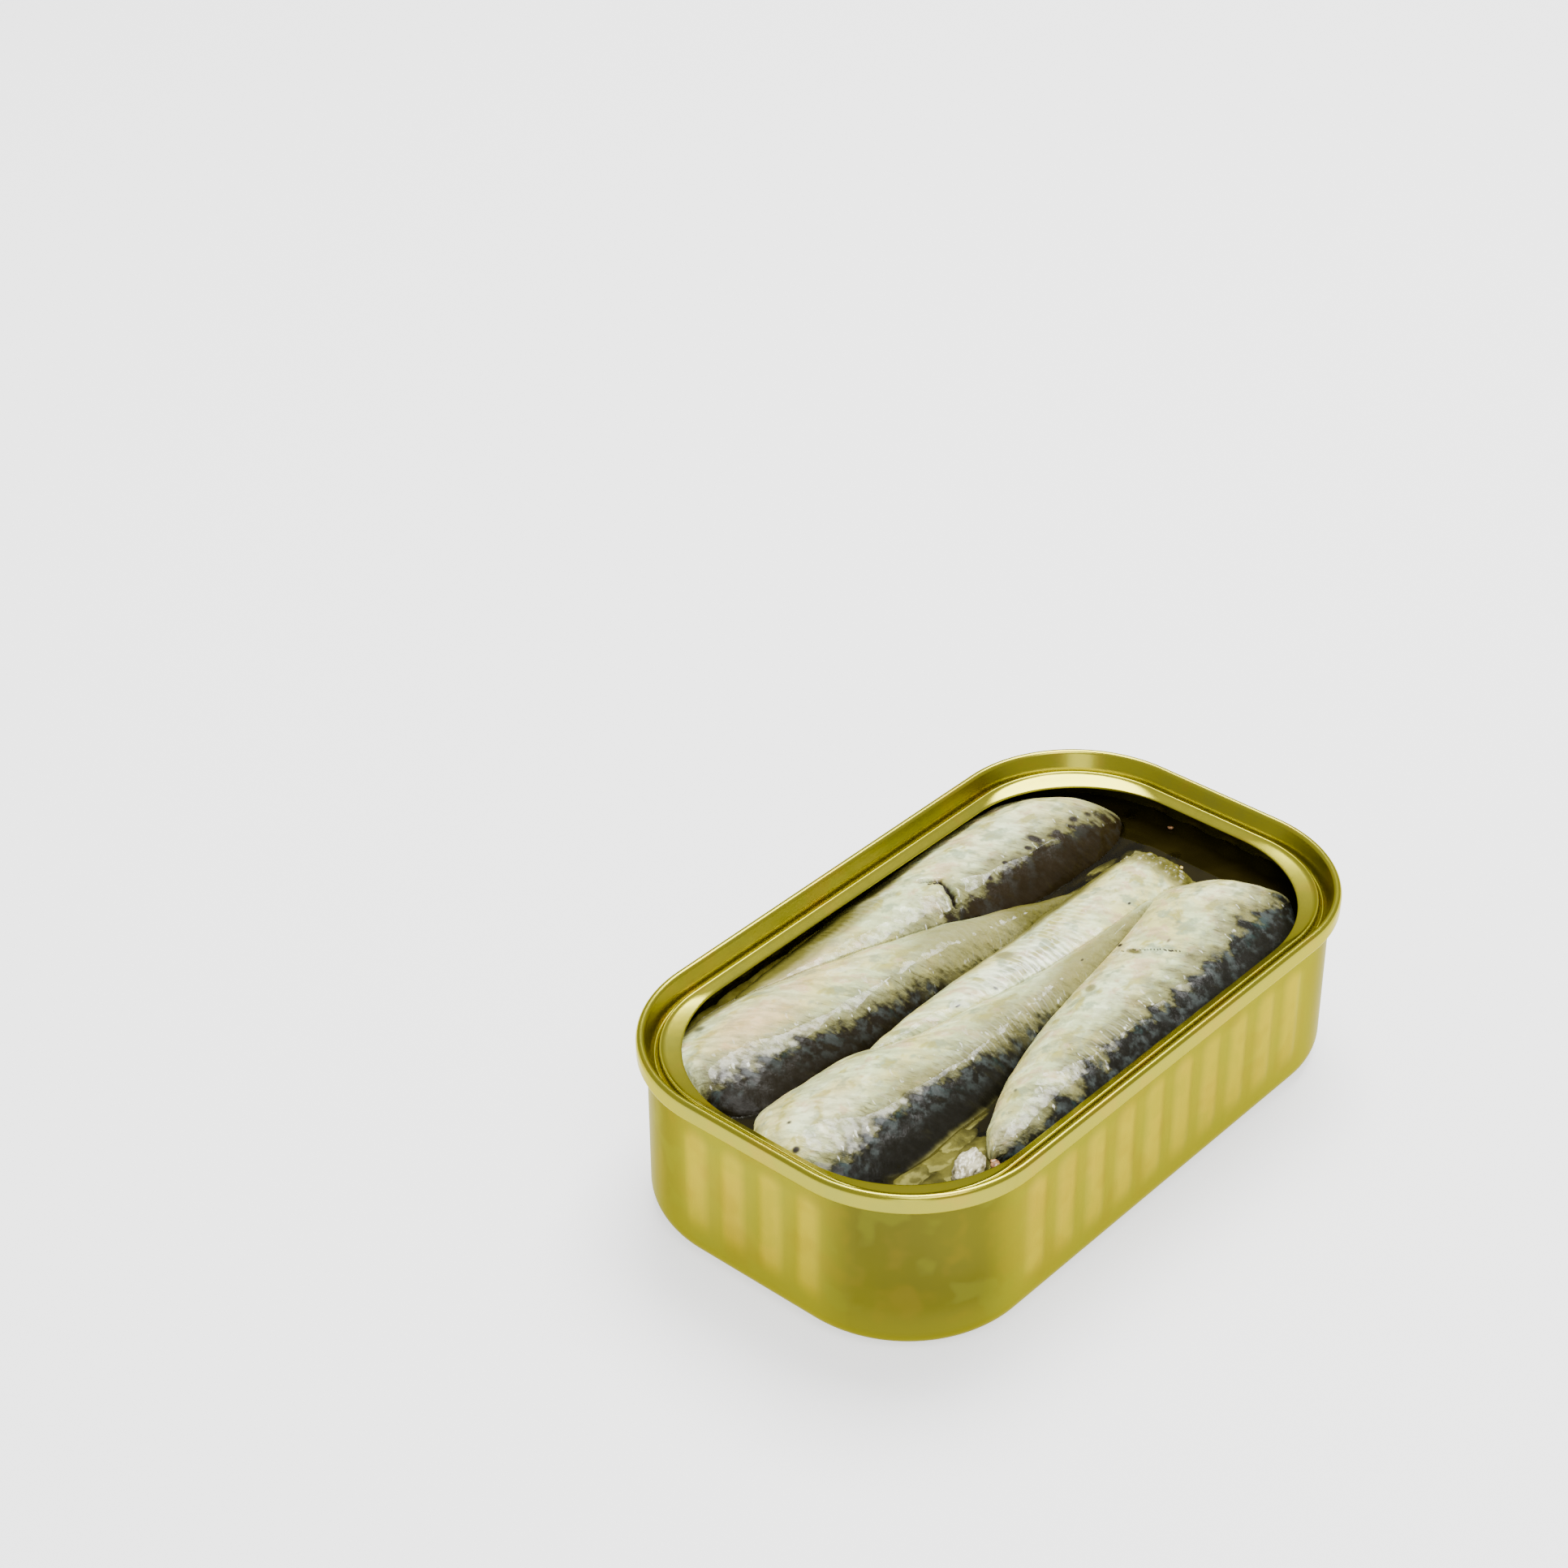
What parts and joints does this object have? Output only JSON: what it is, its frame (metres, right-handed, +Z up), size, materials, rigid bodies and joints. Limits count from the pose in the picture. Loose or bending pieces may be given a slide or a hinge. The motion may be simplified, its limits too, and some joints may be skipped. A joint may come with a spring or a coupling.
{
  "type": "sardine tin",
  "caption": "Open gold-lacquered rectangular tin with rounded corners, its lid peeled away, holding whole sardines in olive oil.",
  "frame": {"origin": "centre of the tin's base, on the surface it stands on", "axes": "+X along the long side, +Y across the tin, +Z up out of the open top"},
  "size_m": [0.105, 0.0616, 0.0275],
  "materials": {
    "gold_lacquer": "satin clear gold lacquer over tinplate",
    "olive_oil": "clear glossy olive-green oil",
    "fish_skin": "wet silver and cream fish skin with a blue-black back",
    "fish_flesh": "moist white cooked flesh"
  },
  "bodies": {
    "root": {"can_body": "gold_lacquer", "lid_ring": "gold_lacquer", "oil": "olive_oil", "sardine_1": "fish_skin", "sardine_2": "fish_skin", "sardine_3": "fish_skin", "sardine_4": "fish_skin", "sardine_5": "fish_skin", "flake": "fish_flesh"}
  },
  "joints": []
}
